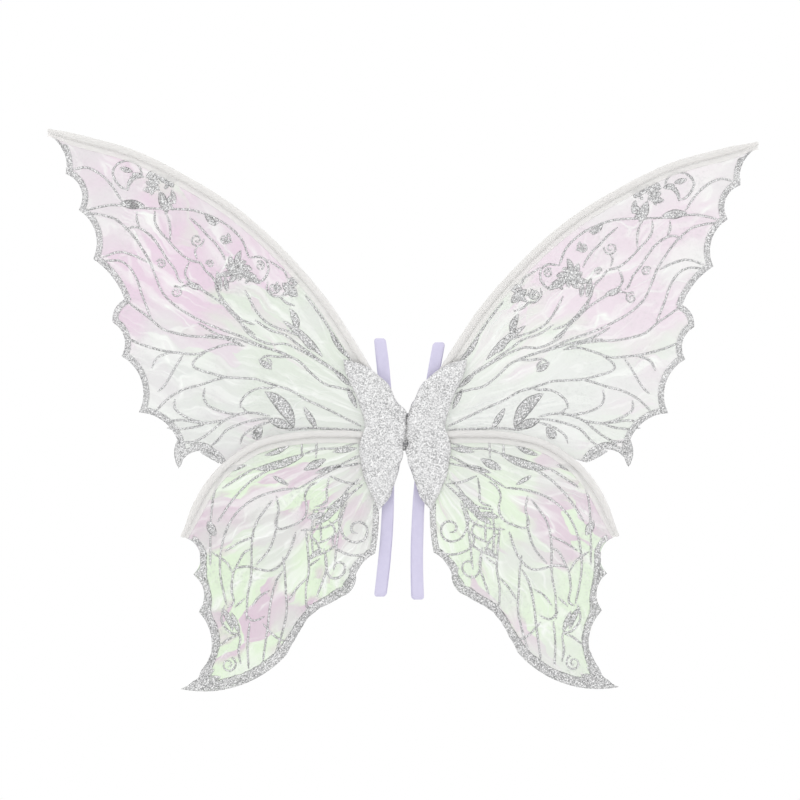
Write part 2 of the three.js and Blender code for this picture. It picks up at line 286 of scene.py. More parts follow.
def joined(parts):
    # several (points, faces) as one
    points, faces, first = [], [], 0
    for some, theirs in parts:
        points.append(some)
        faces += [tuple(i + first for i in f) for f in theirs]
        first += len(some)
    return np.vstack(points), faces


def shown(name, mesh, finish, slot, body=None, stands=None):
    # a mesh as an object; stands is the CAD node that it stands for
    mesh.materials.clear()
    mesh.materials.append(finishes[finish])
    made = bpy.data.objects.new(name, mesh)
    bpy.context.scene.collection.objects.link(made)
    if body:
        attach(made, body)
    if stands:
        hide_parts(stands)
    return made


def piece(name, shape, *rest):
    # an object from points and faces, with its faces turned outwards
    points, faces = shape
    mesh = bpy.data.meshes.new(name)
    mesh.from_pydata((np.asarray(points) * mm).tolist(), [], faces)
    mesh.polygons.foreach_set("use_smooth", [True] * len(mesh.polygons))
    mesh.validate()
    solid = bmesh.new()
    solid.from_mesh(mesh)
    bmesh.ops.recalc_face_normals(solid, faces=solid.faces)
    solid.to_mesh(mesh)
    solid.free()
    return shown(name, mesh, *rest)


def strip(rows, closed=False):
    # a skin over rings of points, its ends filled or joined; rows is steps x around x 3
    rows = np.asarray(rows)
    steps, around = rows.shape[:2]
    faces = []
    for i in range(steps if closed else steps - 1):
        for j in range(around):
            a, b, k = i * around, (i + 1) % steps * around, (j + 1) % around
            faces.append((a + j, a + k, b + k, b + j))
    if not closed:
        faces.append(tuple(range(around))[::-1])
        faces.append(tuple((steps - 1) * around + j for j in range(around)))
    return rows.reshape(-1, 3), faces


def lumps(points, size, seed=0.0):
    # smooth noise, -1 to 1, with features about that many millimetres across
    return np.array([noise.noise(Vector((*p, seed)) / size) for p in points])


# the wings: where their wires run, and how their film lies

wing = {
    "filmThick": 0.25,
    "filmStep": 3.0,  # between the points of a film's mesh
    "fullness": 3.2,  # how far the film bellies out between the wire and its free edge
    "bellyTurns": 5.3,  # swells for each radian round the root
    "bellyLong": 60.0,  # and how far out they lean
    "pleatDepth": 0.9,  # creases that fan out from the root
    "pleatTurns": 14,
    "crumpleDepth": 0.35,
    "calmRoot": 55.0,  # the film lies flat this near its root
    "calmWire": 45.0,  # and comes into its full depth this far from the wire
    "printLift": 0.12,  # from the film to the glitter's underside
    "edgeStep": 2.0,
    "glitterThick": 0.3,  # the glitter at the film's cut edge
    "glitterRough": 0.12,
    "glitterLine": 1.6,  # between the points of its outline, and of its mesh
    "glitterStep": 2.2,
}
# wire points as shares of a wing's reach and of its rise or drop
foreWire = [(0.042, 0.074), (0.09, 0.175), (0.153, 0.3), (0.232, 0.44), (0.349, 0.598),
            (0.467, 0.724), (0.584, 0.816), (0.751, 0.919), (0.918, 0.977), (1, 1)]
hindWire = [(0.08, -0.045), (0.2, -0.018), (0.3, -0.0135), (0.476, -0.019), (0.651, -0.051),
            (0.783, -0.119), (0.87, -0.194), (0.936, -0.285), (0.981, -0.377), (1, -0.411)]
# belly: 1 where the film swells towards the wearer, -1 where it swells away
wings = {
    "forewing_left": {"size": (356, 299), "wire": foreWire, "body": "half_left", "belly": 1},
    "forewing_right": {"size": (352, 286), "wire": foreWire, "body": "half_right", "belly": 1},
    "hindwing_left": {"size": (222, 258), "wire": hindWire, "body": "lower_wing_left", "belly": -1},
    "hindwing_right": {"size": (212, 256), "wire": hindWire, "body": "lower_wing_right", "belly": -1},
}
drawnSize = {"forewing": (356, 299), "hindwing": (222, 258)}  # the wing that the print below is drawn on


def smooth(value, low, high):
    share = np.clip((value - low) / (high - low), 0, 1)
    return share * share * (3 - 2 * share)


def wirePath(place):
    reach, rise = place["size"]
    points = [(place["side"] * out * reach, up * rise) for out, up in place["wire"]]
    return curved(points, 4, closed=False)


def cadNode(place, part):
    return f"{place['kind']}_{part}_{place['hand']}"


def filmFront(place, flat):
    # y of the film's front face: a belly, fanned pleats and a light crumple
    offset = (flat - place["path"][0]) * (place["side"], 1)
    reach = np.linalg.norm(offset, axis=1)
    angle = np.arctan2(offset[:, 1], offset[:, 0])
    fromWire = distanceTo(place["path"], flat)
    freedom = smooth(fromWire, 4, wing["calmWire"]) * smooth(reach, wing["calmRoot"], 3 * wing["calmRoot"])
    swell = np.sin(wing["bellyTurns"] * angle + reach / wing["bellyLong"] + 1.0)
    belly = wing["fullness"] * (0.5 + 0.5 * swell)
    wander = lumps(flat, 60.0, 3.0) * 1.2
    pleat = np.abs(np.sin(wing["pleatTurns"] * angle + wander)) ** 0.6
    pleats = wing["pleatDepth"] * (1 - pleat) * smooth(reach, 30, 140)
    crumple = wing["crumpleDepth"] * (1 + lumps(flat, 14.0, 8.0) + 0.5 * lumps(flat, 6.0, 5.0))
    depth = freedom * (belly + pleats + crumple)
    return place["front"] + place["belly"] * depth


for name, place in wings.items():
    place["kind"], place["hand"] = name.split("_")
    place["side"] = -1 if place["hand"] == "left" else 1
    place["path"] = wirePath(place)
    place["front"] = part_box(cadNode(place, "film"))[0].y / mm
print("wings laid out")


# finishes

# pink, mint and grey: the film's casts; lean: how much of it is mint
# cells: facets round the root and out from it; broken: how much they differ; sharp: how hard pink meets mint
# painted_right_light: how much paler the right wing is painted, as painted light where it catches more light
filmLooks = {
    "forewing": {
        "pink": rgb(233, 203, 225), "mint": rgb(224, 233, 217), "grey": rgb(228, 227, 227),
        "lean": 0.55, "cells": (7.0, 11.0), "broken": 0.25, "sharp": 8.0, "dust": 0.35, "painted_right_light": 0.32,
    },
    "hindwing": {
        "pink": rgb(220, 190, 211), "mint": rgb(226, 242, 212), "grey": rgb(222, 223, 219),
        "lean": 0.44, "cells": (11.0, 24.0), "broken": 0.34, "sharp": 15.0, "dust": 0.5, "painted_right_light": 0.14,
    },
}


def filmFinish(kind):
    # clear film whose pastel cast turns between facets and creases that fan from the root
    look = filmLooks[kind]
    pale = rgb(250, 250, 248)
    film = Finish(kind + "_film", Roughness=0.2, IOR=1.5, Thin_Film_Thickness=380.0, Thin_Film_IOR=1.38)
    place = film.place()
    across, _, z = film.parts("ShaderNodeSeparateXYZ", place)
    x = across.maths("ABSOLUTE")
    hand = across.maths("SIGN")
    warp = film.grain(16.0, 3.0, place) - 0.5
    angle = z.maths("ARCTAN2", x) + warp * 0.22
    reach = (x * x + z * z).maths("SQRT") + warp * 0.05

    def fanned(turns, along, seed):
        axes = {0: angle * turns, 1: reach * along, 2: hand * 3.0 + seed}
        return film.add("ShaderNodeCombineXYZ", None, axes)

    def facets(turns, along, seed, feature="F1", out=1):
        inputs = {"Vector": fanned(turns, along, seed), "Scale": 1.0}
        return film.add("ShaderNodeTexVoronoi", {"feature": feature}, inputs, out=out)

    cell = film.add("ShaderNodeSeparateColor", None, {0: facets(*look["cells"], 0.4)})
    streaks = film.grain(1.0, 3.0, fanned(10.0, 9.0, 1.7))
    patches = film.grain(15.0, 2.0, place)
    if kind == "forewing":
        drift = reach.between(0.08, 0.34) * 0.28
        veil = film.grain(11.0, 2.0, place).between(0.42, 0.66) * 0.6
        veil = veil + (1.0 - z.between(-0.01, 0.13)) * 0.55
    else:
        bands = ((z + x * 0.1 + warp * 0.09 + 0.07) * 52.0).maths("COSINE") * 0.13
        bands = bands - z.between(-0.05, 0.0) * 0.08
        blush = x.between(0.11, 0.15) * z.between(-0.16, -0.1) * 0.24 - 0.14
        drift = bands * (0.5 - hand * 0.5) + blush * (0.5 + hand * 0.5)
        veil = film.grain(14.0, 2.0, place).between(0.4, 0.64) * 0.75 + z.between(-0.07, 0.0) * 0.3
    tone = streaks * 0.42 + patches * 0.42 + (cell - 0.5) * look["broken"] + drift
    turned = ((tone - look["lean"]) * look["sharp"] + 0.5).maths("MAXIMUM", 0.0, clamp=True)
    cast = film.mix(turned, look["mint"], look["pink"])
    cast = film.mix((veil + 0.12).maths("MINIMUM", 0.9), cast, look["grey"])
    # the right wing painted paler: painted light, because it catches more light
    cast = film.mix((hand * 0.5 + 0.5) * look["painted_right_light"], cast, pale)
    fine = film.grain(1.0, 4.0, fanned(36.0, 20.0, 0.7))
    wide = film.grain(1.0, 2.0, fanned(16.0, 10.0, 2.3))
    crease = facets(9.0, 16.0, 3.1, "DISTANCE_TO_EDGE", 0)
    line = (1.0 - crease.between(0.0, 0.05)) * film.grain(24.0).between(0.45, 0.65)
    # white crinkle lines and fanned streaks: partly the film's own whitened creases, partly painted
    # highlight where the creases catch the light; they pale the colour and raise the alpha
    crease_white_and_painted_highlight = fine.between(0.55, 0.68) * 0.4 + wide.between(0.5, 0.66) * 0.5 + line * 0.6
    crease_white_and_painted_highlight = crease_white_and_painted_highlight.maths("MINIMUM", 1.0)
    height = fine * 0.6 + wide + film.grain(90.0, 3.0, place) * 0.25 + line * 0.5
    fleck = film.flakes(place, 1100.0)
    fleck = film.add("ShaderNodeSeparateColor", None, {0: fleck}).between(0.8, 0.86)
    dust = fleck * film.grain(19.0, 3.0, place).between(0.38, 0.66) * look["dust"]
    colour = film.mix(dust, film.mix(crease_white_and_painted_highlight, cast, pale), rgb(176, 176, 177))
    return film.set(Base_Color=colour, Alpha=0.56 + crease_white_and_painted_highlight * 0.06 + dust * 0.2,
                    Normal=film.bump(height, 0.5, 0.0012))


def glitterFinish(name, flake, dark, middle, light, gaps=0.0):
    # metal flakes set at all angles in clear binder; gaps: how much shows between them
    glitter = Finish(name, Roughness=0.32)
    flakes = glitter.flakes(glitter.place(), 1 / flake)
    painted_flake_glint, tilt, sparse = glitter.parts("ShaderNodeSeparateColor", flakes)
    # each flake painted from dark grey to white: painted glint of flakes turned at different angles to the
    # light
    stops = [(0.0, dark), (0.4, middle), (0.75, light), (1.0, rgb(255, 255, 255))]
    level = glitter.add("ShaderNodeValToRGB", {"stops": stops}, {0: painted_flake_glint})
    patch = glitter.grain(60.0, 2.0).between(0.35, 0.7)
    colour = glitter.mix(patch * 0.25, level, light)
    alpha = 1.0 - (1.0 - sparse.between(0.36, 0.4)) * gaps
    bump = glitter.bump(tilt, 0.6, 0.0006)
    return glitter.set(Base_Color=colour, Metallic=tilt * 0.5, Alpha=alpha, Normal=bump)


def clothFinish(name, colour, shade, threads, alpha=1.0, roughness=0.8):
    # a plain weave: two crossed sets of threads with slubs
    cloth = Finish(name, Roughness=roughness, Sheen_Weight=0.25)
    place = cloth.place()
    inputs = {"Vector": place, "Scale": threads, "Distortion": 0.6}
    warp = cloth.add("ShaderNodeTexWave", {"bands_direction": "X"}, inputs, out=1)
    weft = cloth.add("ShaderNodeTexWave", {"bands_direction": "Z"}, inputs, out=1)
    # darker between the threads' crests: painted shade in the weave's hollows; the slubs add the threads'
    # own uneven tone
    weave = warp * 0.5 + weft * 0.5
    slub = cloth.grain(160.0, 3.0, place)
    mixed = cloth.mix(weave * 0.5 + slub * 0.5, shade, colour)
    bump = cloth.bump(weave + slub * 0.4, 0.35, 0.0004)
    return cloth.set(Base_Color=mixed, Alpha=alpha, Normal=bump)


def smoothFinish(name, colour, shade, roughness):
    # moulded or coated plastic with a faint mottle
    skin = Finish(name)
    mottle = skin.grain(420.0, 4.0)
    rough = mottle * 0.15 + (roughness - 0.07)
    bump = skin.bump(mottle, 0.15, 0.0002)
    return skin.set(Base_Color=skin.mix(mottle, shade, colour), Roughness=rough, Normal=bump)


silver = rgb(240, 240, 240)
# the gathered neck's glitter is darker than the covers': painted shade in the pinched crease, and partly the
# denser glitter there
gather_painted_shade_tones = rgb(70, 70, 71), rgb(150, 150, 151), rgb(222, 222, 222)
finishes = {
    "forewingFilm": filmFinish("forewing"),
    "hindwingFilm": filmFinish("hindwing"),
    "print": glitterFinish("glitter_print", 0.0008, rgb(142, 142, 143), rgb(196, 196, 197), silver, 0.6),
    "cover": glitterFinish("glitter_fabric", 0.0009, rgb(150, 150, 151), rgb(205, 205, 206), silver),
    "casing": clothFinish("sheer_tape", rgb(252, 250, 248), rgb(242, 241, 239), 420.0, alpha=0.6),
    "stitch": clothFinish("white_thread", rgb(236, 236, 234), rgb(200, 200, 200), 900.0),
    "gather": glitterFinish("gathered_fabric_painted_shade", 0.0009, *gather_painted_shade_tones),
    "thread": clothFinish("silver_thread", rgb(170, 170, 172), rgb(105, 105, 108), 900.0),
    "elastic": clothFinish("elastic_webbing", rgb(222, 218, 240), rgb(200, 195, 222), 500.0),
    "felt": clothFinish("felt", rgb(232, 232, 234), rgb(205, 205, 208), 260.0, roughness=0.95),
    "foam": smoothFinish("craft_foam", rgb(240, 240, 240), rgb(222, 222, 222), 0.85),
    "wire": smoothFinish("coated_wire", rgb(248, 248, 248), rgb(230, 230, 230), 0.4),
    "cap": smoothFinish("vinyl", rgb(250, 250, 250), rgb(238, 238, 238), 0.35),
}
print("finishes made:", len(finishes))


# the films and their glitter edges

def makeFilm(name, place):
    line = curved(outlines(cadNode(place, "film"))[0], wing["edgeStep"])
    flat, faces = meshed(line, wing["filmStep"])
    shape = thinSolid(flat, faces, filmFront(place, flat), wing["filmThick"])
    finish = place["kind"] + "Film"
    place["film"] = piece(f"{name}_film", shape, finish, "film", place["body"], cadNode(place, "film"))
    place["flat"], place["area"] = cutSize(line)


def makeEdge(name, place):
    parts = []
    thick, step = wing["glitterThick"], wing["glitterStep"]
    for line in outlines(cadNode(place, "glitter_edge")):
        flat, faces = meshed(curved(line, wing["glitterLine"]), step)
        rough = lumps(flat, step, 4.0) * wing["glitterRough"]
        front = filmFront(place, flat) - wing["printLift"] - thick + rough
        parts.append(thinSolid(flat, faces, front, thick - rough))
    cad = cadNode(place, "glitter_edge")
    piece(f"{name}_glitter_edge", joined(parts), "print", "glitter", place["body"], cad)


# the tape round each wire, its hem and its stitches

casing = {
    "halfWidth": 3.4,
    "tape": 0.35,
    "step": 1.6,
    "pucker": 0.07,  # share of the width that the tape pulls in between stitches
    "hem": (-0.9, 0.6, 2.2, 3.9, 5.4, 6.0),  # lines along the hem, past the sleeve's edge
    "hemRipple": (0, 1, 1, 1, 1, 0.5),  # and how much each one ripples
    "hemThick": 0.35,
    "start": {"forewing": 22.0, "hindwing": 12.0},  # how far along its wire the tape begins
    "tipLong": 34.0,  # the tape narrows over this length at the wire's tip
    "tipShare": 0.62,
    "closing": ((0.5, 0.9), (0.9, 0.65), (1.1, 0.25)),  # past the wire's end, and the tape's size there
    "stitchPitch": 2.9,
    "stitchLong": 2.0,
    "stitchWide": 0.5,
}


def frames(place, step, start):
    # points along a wire with the way towards the film, every step millimetres from start
    path = place["path"]
    lengths = runOf(path)
    at = np.linspace(start, lengths[-1], round((lengths[-1] - start) / step) + 1)
    points = np.column_stack([np.interp(at, lengths, path[:, k]) for k in (0, 1)])
    way = unit(np.gradient(points, axis=0))
    inward = place["side"] * np.column_stack([way[:, 1], -way[:, 0]])
    return at, points, inward, way


def ring(count):
    turn = np.arange(count) * 2 * math.pi / count
    return turn, np.cos(turn), np.sin(turn)


def tube(centres, inward, outer, inner):
    # a hollow sleeve: outer and inner are lists of rings of (towards the film, forwards)
    def laid(rings):
        made = []
        for (x, y, z), (nx, nz), section in zip(centres, inward, rings):
            across, forward = section[:, 0], section[:, 1]
            made.append(np.column_stack([x + across * nx, y - forward, z + across * nz]))
        return np.vstack(made)

    around, steps = len(outer[0]), len(outer)
    shift = around * steps
    end = shift - around
    faces = []
    for i in range(0, end, around):
        for j in range(around):
            k = (j + 1) % around
            a, b = i, i + around
            faces.append((a + j, a + k, b + k, b + j))
            faces.append((shift + a + k, shift + a + j, shift + b + j, shift + b + k))
    for j in range(around):
        k = (j + 1) % around
        faces.append((j, shift + j, shift + k, k))
        faces.append((end + k, shift + end + k, shift + end + j, end + j))
    return np.vstack([laid(outer), laid(inner)]), faces


def tipShare(left):
    return casing["tipShare"] + (1 - casing["tipShare"]) * smooth(left, 0, casing["tipLong"])


def makeCasing(name, place):
    low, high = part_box(cadNode(place, "casing"))
    wireY, halfDepth = (low.y + high.y) / 2 / mm, (high.y - low.y) / 2 / mm
    at, points, inward, along = frames(place, casing["step"], casing["start"][place["kind"]])
    turn, cosine, sine = ring(16)
    outer, inner = [], []
    for s in at:
        seed = noise.noise((s / 7, place["size"][0], 0.3)), noise.noise((s / 5, 7.7, place["size"][1]))
        wide = casing["halfWidth"] * tipShare(at[-1] - s) * (1 + casing["pucker"] * seed[0])
        deep = halfDepth * (0.95 + 0.7 * casing["pucker"] * seed[1])
        wrinkle = 1 + 0.03 * np.sin(3 * turn + s * 0.8) + 0.02 * np.sin(5 * turn - s * 1.3)
        outer.append(np.column_stack([wide * cosine, deep * sine]) * wrinkle[:, None])
        inner.append(outer[-1] * (1 - casing["tape"] / halfDepth))
    middles, sides = list(points), list(inward)
    for past, size in casing["closing"]:
        middles.append(points[-1] + past * along[-1])
        sides.append(inward[-1])
        outer.append(outer[len(at) - 1] * size)
        inner.append(inner[len(at) - 1] * size)
    centres = [(x, wireY, z) for x, z in middles]
    hem = makeHem(place, at, points, inward)
    shape = joined([tube(centres, sides, outer, inner), hem])
    cad = cadNode(place, "casing")
    place["casing"] = piece(f"{name}_casing", shape, "casing", "casing", place["body"], cad)


def makeHem(place, at, points, inward):
    # the tape's flat edge, sewn to the film
    reaches = casing["halfWidth"] + np.array(casing["hem"])
    rows = []
    for s, point, way in zip(at, points, inward):
        ends = reaches * tipShare(at[-1] - s)
        ends[-1] += 0.25 * noise.noise((s / 4, 1.0, 2.0))
        flat = point + ends[:, None] * way
        ripple = 0.12 * np.array([noise.noise((s / 5, e / 3, 5.0)) for e in ends]) * casing["hemRipple"]
        back = filmFront(place, flat) - 0.04
        front = back - casing["hemThick"] - np.abs(ripple)
        rows.append(np.vstack([lift(flat, front), lift(flat, back)[::-1]]))
    return strip(rows)


def makeStitches(name, place):
    # the last place is left out: it is the wire's very tip
    parts = []
    start = casing["start"][place["kind"]] + 2
    at, points, inward, along = frames(place, casing["stitchPitch"], start)
    long, wide = casing["stitchLong"] / 2, casing["stitchWide"] / 2
    section = np.array([(-0.2, 0.0), (-wide, 0.14), (0, 0.26), (wide, 0.14), (0.2, 0.0)])
    for s, point, way, run in list(zip(at, points, inward, along))[:-1]:
        rows = []
        out = (casing["halfWidth"] + 1.3) * tipShare(at[-1] - s)
        for share, size in ((-1, 0.35), (-0.7, 0.9), (0, 1.0), (0.7, 0.9), (1, 0.35)):
            flat = point + out * way + share * long * run + section[:, :1] * size * way
            front = filmFront(place, flat) - casing["hemThick"] - 0.1 - section[:, 1] * size
            rows.append(lift(flat, front))
        parts.append(strip(rows))
    place["stitches"] = piece(f"{name}_stitches", joined(parts), "stitch", "casing", place["body"])


# the glitter print: veins, leaves, curls and flowers, drawn in millimetres on the left wings

printed = {
    "veinWide": 2.15,
    "veinHigh": 0.16,
    "step": 1.1,
    "taper": 6.0,  # a stroke narrows over this length at its ends
    "ragged": 0.4,
    "raggedSize": 1.0,
}
# strokes: (out, up) points of each vein; leaves: two ends, a bend and a width
# curls: centre, radius and first angle; flowers: centre, radius and petals
foreStrokes = [
    [(333, 260), (317, 262), (298, 250), (283, 229)],
    [(317, 220), (305, 223), (292, 225), (262, 222), (236, 221), (215, 220), (200, 216), (183, 208),
     (172, 200), (163, 190), (158, 178), (156, 172)],
    [(315, 217), (303, 215), (290, 211), (280, 203), (270, 192), (262, 180), (255, 168), (250, 155),
     (244, 140), (238, 132), (228, 123), (215, 115), (200, 107), (185, 101), (163, 93), (148, 86),
     (121, 76), (112, 73)],
    [(280, 200), (271, 203), (262, 200), (252, 192), (245, 182), (238, 171), (230, 160), (226, 150),
     (222, 147)],
    [(268, 219), (268, 210), (265, 202)],
    [(250, 219), (250, 208), (246, 200), (238, 191), (225, 177), (215, 170), (205, 167), (200, 160),
     (192, 152), (188, 142), (184, 128)],
    [(238, 215), (235, 205), (235, 190)],
    [(215, 212), (205, 203), (198, 195), (190, 187), (183, 177), (180, 170)],
    [(208, 183), (210, 178), (208, 171)],
    [(216, 168), (220, 157), (217, 150), (210, 146)],
    [(225, 143), (215, 145), (205, 141), (195, 135), (185, 128), (175, 118), (165, 108), (158, 98),
     (150, 92), (135, 86), (120, 86), (105, 80), (80, 65), (66, 56)],
    [(302, 173), (285, 178), (270, 174), (258, 168)],
    [(302, 169), (285, 169), (275, 162), (268, 150), (263, 135), (258, 122), (254, 112)],
    [(277, 128), (268, 121), (258, 114), (242, 101), (230, 97), (215, 94), (200, 93), (180, 91),
     (163, 86)],
    [(277, 240), (284, 243), (289, 249), (292, 257), (289, 264), (283, 268), (275, 269), (268, 266),
     (264, 260), (264, 254), (269, 252), (275, 253)],
    [(156, 172), (145, 173), (138, 168), (137, 158), (142, 150), (150, 147)],
    [(137, 170), (128, 164), (120, 158), (117, 150)],
    [(137, 148), (138, 141), (132, 134), (125, 133), (120, 128), (110, 124)],
    [(160, 140), (155, 130), (148, 118), (140, 109), (130, 103), (118, 99), (105, 94)],
    [(190, 150), (188, 140), (180, 128), (170, 115), (160, 103), (150, 95)],
    [(185, 130), (172, 118), (163, 110), (150, 105)],
    [(150, 110), (135, 100), (120, 95), (105, 84), (85, 70), (70, 60), (60, 50)],
    [(100, 135), (90, 122), (80, 108), (68, 88), (60, 74)],
    [(278, 92), (262, 85), (240, 79), (225, 77), (208, 76), (190, 82), (175, 86), (160, 84)],
    [(234, 78), (248, 72), (253, 62)],
    [(222, 75), (230, 62), (240, 45), (247, 38)],
    [(200, 77), (208, 72), (212, 65), (205, 60), (195, 57), (180, 53), (165, 52), (150, 51), (140, 48),
     (128, 44)],
    [(250, 18), (236, 32), (220, 41), (205, 45), (190, 50), (178, 53)],
    [(140, 48), (128, 44), (115, 40), (100, 31), (80, 22), (60, 12), (44, 4)],
    [(200, 42), (201, 32), (196, 24), (185, 19), (172, 16), (165, 16)],
    [(230, 31), (230, 22), (224, 16), (212, 10), (200, 7)],
    [(240, 8), (225, 10), (210, 8), (200, 7), (190, 8), (180, 10)],
    [(238, 2), (225, 1), (210, 3), (200, 6)],
    [(225, -12), (212, -12), (200, -6), (190, 2), (180, 10), (165, 16), (150, 17), (135, 14)],
    [(195, -17), (187, -10), (178, 0), (165, 6), (150, 10), (135, 12)],
    [(165, -14), (162, -6), (155, 0), (145, 5), (135, 8)],
    [(165, 22), (163, 30), (155, 38), (145, 42), (135, 42), (128, 44)],
    [(163, 23), (158, 18), (150, 17)],
    [(118, 0), (95, 2), (70, 1), (44, 0)],
    [(146, 70), (138, 74), (126, 73), (115, 73), (105, 68), (95, 58), (80, 46), (65, 42), (50, 38)],
    [(200, 95), (180, 93), (165, 90), (150, 85), (128, 79), (115, 74)],
    [(207, 107), (190, 97), (170, 90)],
    [(352, 293), (347, 289), (342, 282), (337, 272)],
]
foreLeaves = [
    ((285, 227), (260, 224), 0, 9), ((285, 262), (272, 258), 0, 5), ((277, 239), (262, 255), 5, 4),
    ((273, 256), (261, 253), 0, 5), ((262, 240), (248, 240), 0, 6), ((259, 252), (248, 259), 0, 6),
    ((246, 257), (241, 247), 0, 5), ((240, 254), (231, 243), 0, 7), ((245, 239), (238, 217), 0, 9),
    ((233, 240), (230, 226), 0, 5), ((219, 147), (202, 141), 0, 6), ((200, 216), (189, 204), 0, 6),
    ((197, 208), (186, 207), 0, 4), ((188, 159), (184, 139), 0, 6), ((180, 153), (178, 139), 0, 5),
    ((160, 159), (148, 148), 0, 7), ((154, 152), (144, 147), 0, 5), ((123, 147), (107, 133), 0, 9),
    ((118, 151), (105, 148), 0, 5), ((115, 121), (108, 99), 2, 7), ((122, 109), (82, 73), 2, 7),
    ((106, 101), (94, 80), 0, 6), ((75, 101), (56, 72), -2, 5), ((146, 70), (133, 61), 0, 6),
    ((140, 38), (111, 2), 5, 13), ((137, 11), (112, 2), 0, 9), ((101, 23), (88, 1), 0, 6),
    ((58, 43), (48, 22), 0, 5), ((152, -9), (143, 3), 0, 8), ((226, -8), (226, -38), 0, 9),
    ((215, -15), (190, -20), 2, 5), ((205, -22), (186, -33), 2, 5), ((60, 80), (47, 62), 0, 5),
    ((71, 60), (54, 44), 0, 5),
]
foreCurls = [
    ((244, 166), 5, 0.5), ((208, 190), 7, 3.0), ((180, 191), 6, 2.0), ((195, 166), 4, 0.0),
    ((145, 164), 5, 1.0), ((131, 142), 6, 2.6), ((229, 138), 6, 1.2), ((138, 66), 5, 1.5),
    ((252, 249), 6, 0.4), ((149, -4), 6, 2.0),
]
foreFlowers = [
    ((168, 161), 14, 9), ((171, 160), 8, 7), ((252, 246), 8.5, 7), ((236, 247), 7, 5), ((238, 226), 8, 7),
    ((115, 141), 8, 6), ((179, 190), 5, 4), ((129, 143), 5, 4), ((156, 152), 6, 5),
]
hindStrokes = [
    [(180, -43), (188, -55), (192, -72), (194, -97), (194, -135)],
    [(118, -33), (140, -42), (155, -52), (168, -65), (178, -78), (187, -92)],
    [(105, -58), (125, -60), (145, -66), (160, -75), (172, -88), (180, -105), (184, -125), (184, -145),
     (178, -175)],
    [(180, -121), (165, -112), (150, -106)],
    [(170, -140), (165, -130), (160, -122), (152, -118)],
    [(132, -70), (140, -80), (148, -92), (152, -105), (153, -120), (153, -135), (154, -150), (157, -165),
     (158, -190)],
    [(170, -138), (172, -147), (173, -160), (171, -172), (177, -177)],
    [(170, -177), (160, -168)],
    [(170, -138), (158, -136), (145, -139), (133, -140), (122, -132), (114, -118), (109, -102)],
    [(127, -90), (130, -105), (136, -120), (148, -134)],
    [(122, -126), (120, -140), (119, -160), (118, -180), (122, -200), (130, -226)],
    [(122, -140), (128, -150), (132, -162), (135, -178), (137, -196), (142, -232)],
    [(153, -176), (145, -166), (135, -160)],
    [(160, -182), (152, -190), (140, -186)],
    [(99, -98), (97, -120), (96, -140), (99, -160), (98, -180)],
    [(98, -148), (108, -158), (116, -170)],
    [(81, -118), (78, -135), (82, -150), (88, -166)],
    [(96, -136), (85, -128)],
    [(128, -66), (126, -80), (128, -97), (112, -95), (101, -88), (98, -78), (100, -66), (95, -56),
     (88, -52)],
    [(76, -48), (78, -60), (79, -72), (90, -77)],
    [(105, -58), (95, -52), (85, -46), (70, -38), (55, -30), (44, -25)],
    [(88, -42), (75, -38), (60, -36), (44, -33)],
    [(75, -46), (60, -52), (45, -54)],
    [(42, -54), (55, -65), (68, -80), (80, -90), (92, -96)],
    [(60, -70), (66, -88), (64, -100), (58, -109), (48, -112), (40, -108), (38, -98), (44, -92),
     (52, -94), (53, -101), (47, -103)],
    [(76, -90), (70, -100), (72, -112), (66, -120), (52, -125), (40, -124)],
    [(84, -88), (84, -112)],
    [(80, -124), (78, -140), (74, -147), (66, -147), (60, -140), (62, -133), (69, -133), (71, -140)],
    [(103, -12), (103, -27)],
    [(88, -10), (89, -28)],
    [(180, -175), (183, -190), (174, -202), (165, -205), (166, -220), (164, -233)],
    [(186, -216), (175, -208), (165, -204)],
    [(155, -192), (157, -215), (156, -238)],
    [(142, -193), (128, -207), (112, -213)],
    [(150, -38), (165, -47), (182, -58)],
    [(192, -122), (178, -132), (172, -142)],
    [(101, -24), (85, -19), (66, -18), (46, -12)],
    [(97, -104), (88, -112), (84, -124)],
    [(46, -49), (56, -58), (68, -73), (80, -78), (92, -80)],
    [(58, -72), (64, -90), (68, -112), (70, -134)],
    [(62, -84), (68, -90), (77, -96), (90, -99), (104, -100)],
    [(67, -102), (77, -109), (90, -114)],
    [(68, -114), (78, -121), (90, -126)],
    [(91, -80), (93, -100), (92, -124)],
]
hindLeaves = [
    ((197, -91), (189, -106), 0, 8), ((151, -39), (99, -23), -3, 8), ((140, -25), (114, -13), -2, 5),
    ((101, -40), (79, -29), 0, 8), ((186, -42), (158, -35), 0, 5), ((90, -43), (62, -35), 0, 5),
    ((98, -88), (79, -83), 0, 6), ((90, -93), (72, -85), 0, 5), ((56, -62), (82, -89), 0, 7),
    ((96, -129), (83, -118), 0, 5), ((183, -178), (172, -200), 2, 6), ((173, -182), (165, -203), 0, 5),
    ((219, -258), (184, -246), 0, 11), ((210, -254), (190, -238), 0, 7), ((132, -46), (116, -55), 0, 4),
    ((72, -22), (48, -18), 0, 5),
]
# wider bands of glitter inside the cut edge: (out, up) points and a width
hindBands = [
    ([(214, -255), (194, -254), (174, -250), (154, -243), (138, -233), (126, -223), (114, -208),
      (103, -190), (92, -178), (76, -168), (62, -158)], 7.5),
    ([(62, -158), (54, -148), (49, -137), (40, -126), (32, -119)], 6.0),
    ([(201, -118), (201, -130), (200, -148), (196, -165), (196, -182), (190, -198), (188, -215),
      (194, -232), (204, -246)], 6.5),
]
hindCurls = [((176, -234), 8, 2.0)]
artwork = {
    "forewing": (foreStrokes, foreLeaves, foreCurls, foreFlowers, []),
    "hindwing": (hindStrokes, hindLeaves, hindCurls, [], hindBands),
}


def onWing(place, points):
    across, up = np.array(place["size"]) / drawnSize[place["kind"]]
    return np.asarray(points, float) * (place["side"] * across, up)


